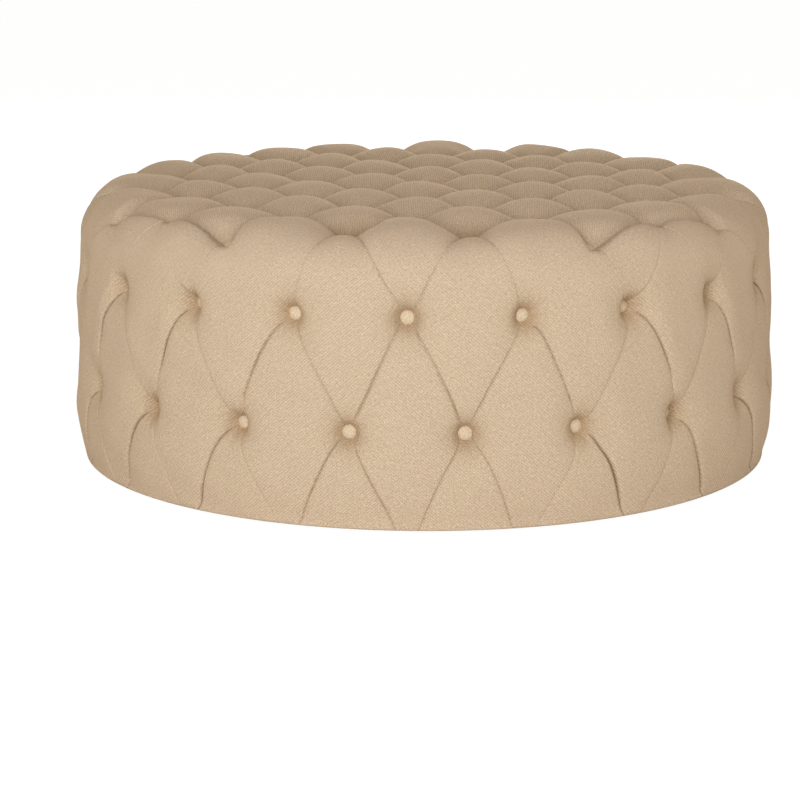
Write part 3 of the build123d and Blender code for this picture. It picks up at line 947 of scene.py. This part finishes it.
class OTTOMAN_OT_drum(bpy.types.Operator):
    """Give the pieces of the drum and the underside their materials"""

    bl_idname = "ottoman.drum"
    bl_label = "Drum and underside"

    def execute(self, context):
        birch, pine = ("b18a5c", "d3b184"), ("b58752", "dcb983")
        birch_grain, pine_grain, upright_grain = (1, 14, 14), (1, 12, 12), (12, 12, 1)
        finishes = {
            # Spun and waxed: strands of 1.1 mm, a dull shine on the wax
            "_twines": plain("waxed_linen_twine", "a8946c", "d2c09a", 900, rough=0.6),
            # Injection moulded: an even, half glossy off-white, clouded over 17 mm
            "_tags": plain("moulded_nylon", "c9c7bf", "dedcd4", 60, rough=0.45),
            # Foamed and sawn: open cells of 0.7 mm, with no shine at all
            "_foam": plain("open_cell_foam", "cdbf8c", "efe3b4", 1400, rough=0.95, bump=0.6),
            # Pressed from fibres: brown, with flecks of 4.5 mm
            "wall": plain("smooth_hardboard", "4e3522", "6b4a30", 220, rough=0.6),
            # Peeled and sanded: pale, with grain 2.4 mm across and 33 mm along
            "deck": plain("sanded_birch_plywood", *birch, 30, birch_grain, rough=0.6),
            "base_ring": plain("sanded_birch_plywood_ring", *birch, 30, birch_grain, rough=0.6),
            # Sawn and planed: yellow, with grain 3.5 mm across and 42 mm along
            "rail": plain("planed_pine", *pine, 24, pine_grain, rough=0.6),
            "post": plain("planed_pine_upright", *pine, 24, upright_grain, rough=0.6),
            # Bonded from melted fibres: black and matt, with dimples of 1.4 mm
            "dust_cover": plain(
                "spunbond_polypropylene", "101010", "1c1c1c", 700, rough=0.9, bump=0.5
            ),
            # Drawn and galvanised: grey metal, with spangles of 2 mm
            "staples": plain(
                "galvanised_wire", "8c8f92", "b4b7ba", 500, metal=1.0, rough=0.35
            ),
            # Rolled and plated: brighter metal, clouded over 2.5 mm
            "screw": plain("zinc_plated_steel", "9a9da0", "c2c5c8", 400, metal=1.0, rough=0.3),
            # Injection moulded: black with a soft shine, uneven over 3.3 mm
            "glide": plain("moulded_polyethylene", "111111", "1d1d1d", 300, rough=0.4),
        }
        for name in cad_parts:
            if name == "cover" or name.endswith("_buttons"):
                continue
            finish = next(material for key, material in finishes.items() if key in name)
            obj = bpy.data.objects[name]
            obj.data.materials.clear()
            obj.data.materials.append(finish)
        return {"FINISHED"}


class OTTOMAN_OT_stage(bpy.types.Operator):
    """Set up the floor, the lamps and the camera"""

    bl_idname = "ottoman.stage"
    bl_label = "Stage"

    def execute(self, context):
        stage = settings()[3]
        scene = context.scene
        scene.view_settings.view_transform = "Standard"
        self.floor()
        self.world(scene, stage.fill)
        # Directions are in degrees from the front, and over the floor; sizes in metres
        for name, power, azimuth, rise, size, colour in [
            ("key", stage.key_power, -2, 16, 2.4, "f6faff"),
            ("left", stage.side_power, -80, 12, 2.0, "fff6ea"),
            ("right", stage.side_power * 1.2, 86, 12, 2.0, "fff6ea"),
            ("back", stage.back_power, 180, 19, 1.4, "fffdf6"),
        ]:
            self.lamp(scene, name, power, math.radians(azimuth), math.radians(rise), size, colour)
        lens = bpy.data.cameras.new("camera")
        lens.lens = stage.focal
        lens.sensor_width = 36
        lens.clip_start = 0.05
        camera = bpy.data.objects.new("camera", lens)
        scene.collection.objects.link(camera)
        # Fitted to the photograph: 3.6 m off, looking 12.7 degrees down
        camera.location = (0.188, -3.595, 0.8814)
        camera.rotation_euler = (math.pi / 2 - 0.2221, 0, 0.0619)
        scene.camera = camera
        return {"FINISHED"}

    def lamp(self, scene, name, power, azimuth, rise, size, colour):
        """A large soft square lamp that faces the middle of the drum from 4.5 m away."""
        light = bpy.data.lights.new(name, "AREA")
        light.energy = power
        light.size = size
        light.color = linear(colour)[:3]
        lamp = bpy.data.objects.new(name, light)
        lamp.visible_camera = False
        scene.collection.objects.link(lamp)
        away = 4.5
        lamp.location = (
            away * math.cos(rise) * math.sin(azimuth),
            -away * math.cos(rise) * math.cos(azimuth),
            0.2 + away * math.sin(rise),
        )
        lamp.rotation_euler = (math.pi / 2 - rise, 0, azimuth)

    def floor(self):
        """A pale floor that the camera sees as white, but for the shadow it takes."""
        corners = 30.0 * np.array([(-1, -1, 0), (1, -1, 0), (1, 1, 0), (-1, 1, 0)])
        mesh = fill_mesh("floor", corners, np.array([[0, 1, 2, 3]]))
        obj = bpy.data.objects.new("floor", mesh)
        bpy.context.scene.collection.objects.link(obj)
        material, tree = new_material("white_studio_floor")
        rays = add_node(tree, "ShaderNodeLightPath")
        # The camera sees 0.85 of glow and 0.15 of the floor that takes the shadow
        seen = add_node(
            tree, "ShaderNodeMath", {0: rays.outputs["Is Camera Ray"], 1: 0.85},
            operation="MULTIPLY",
        ).outputs[0]
        matt = add_node(tree, "ShaderNodeBsdfDiffuse", {"Color": (0.9, 0.9, 0.9, 1)}).outputs[0]
        white = add_node(tree, "ShaderNodeEmission", {"Strength": 1.13}).outputs[0]
        both = add_node(tree, "ShaderNodeMixShader", {0: seen, 1: matt, 2: white}).outputs[0]
        add_node(tree, "ShaderNodeOutputMaterial", {"Surface": both})
        obj.data.materials.append(material)

    def world(self, scene, fill):
        """Even light all round, and plain white where the camera looks past the floor."""
        world = bpy.data.worlds.new("studio")
        scene.world = world
        world.use_nodes = True
        tree = world.node_tree
        tree.nodes.clear()
        rays = add_node(tree, "ShaderNodeLightPath")
        seen = rays.outputs["Is Camera Ray"]
        for kind in ("Is Glossy Ray", "Is Transmission Ray"):
            either = {0: seen, 1: rays.outputs[kind]}
            seen = add_node(tree, "ShaderNodeMath", either, operation="MAXIMUM").outputs[0]
        warm = linear("fff0dc")
        soft = add_node(tree, "ShaderNodeBackground", {"Color": warm, "Strength": fill}).outputs[0]
        plain_white = {"Color": (1, 1, 1, 1), "Strength": 1.03}
        white = add_node(tree, "ShaderNodeBackground", plain_white).outputs[0]
        both = add_node(tree, "ShaderNodeMixShader", {0: seen, 1: soft, 2: white}).outputs[0]
        add_node(tree, "ShaderNodeOutputWorld", {"Surface": both})


class OTTOMAN_PT_panel(bpy.types.Panel):
    """The ottoman's pieces and settings in the sidebar"""

    bl_label = "Ottoman"
    bl_idname = "OTTOMAN_PT_panel"
    bl_space_type = "VIEW_3D"
    bl_region_type = "UI"
    bl_category = "Ottoman"

    def draw(self, context):
        for group in settings():
            for key in group.__annotations__:
                self.layout.prop(group, key)
        for name in ("cover", "buttons", "drum", "stage"):
            self.layout.operator("ottoman." + name)


CLASSES = (
    BodySettings,
    PuffSettings,
    ClothSettings,
    StageSettings,
    OTTOMAN_OT_cover,
    OTTOMAN_OT_buttons,
    OTTOMAN_OT_drum,
    OTTOMAN_OT_stage,
    OTTOMAN_PT_panel,
)


def register():
    """Register the classes, and give the scene its settings."""
    for cls in CLASSES:
        bpy.utils.register_class(cls)
    bpy.types.Scene.ottoman_body = bpy.props.PointerProperty(type=BodySettings)
    bpy.types.Scene.ottoman_puffs = bpy.props.PointerProperty(type=PuffSettings)
    bpy.types.Scene.ottoman_cloth = bpy.props.PointerProperty(type=ClothSettings)
    bpy.types.Scene.ottoman_stage = bpy.props.PointerProperty(type=StageSettings)


def unregister():
    """Take back what register did."""
    for name in ("ottoman_body", "ottoman_puffs", "ottoman_cloth", "ottoman_stage"):
        delattr(bpy.types.Scene, name)
    for cls in reversed(CLASSES):
        bpy.utils.unregister_class(cls)


def main():
    """Build the pieces in order."""
    register()
    bpy.ops.ottoman.stage()
    bpy.ops.ottoman.cover()
    bpy.ops.ottoman.buttons()
    bpy.ops.ottoman.drum()
    bpy.context.view_layer.update()


if __name__ == "__main__":
    main()
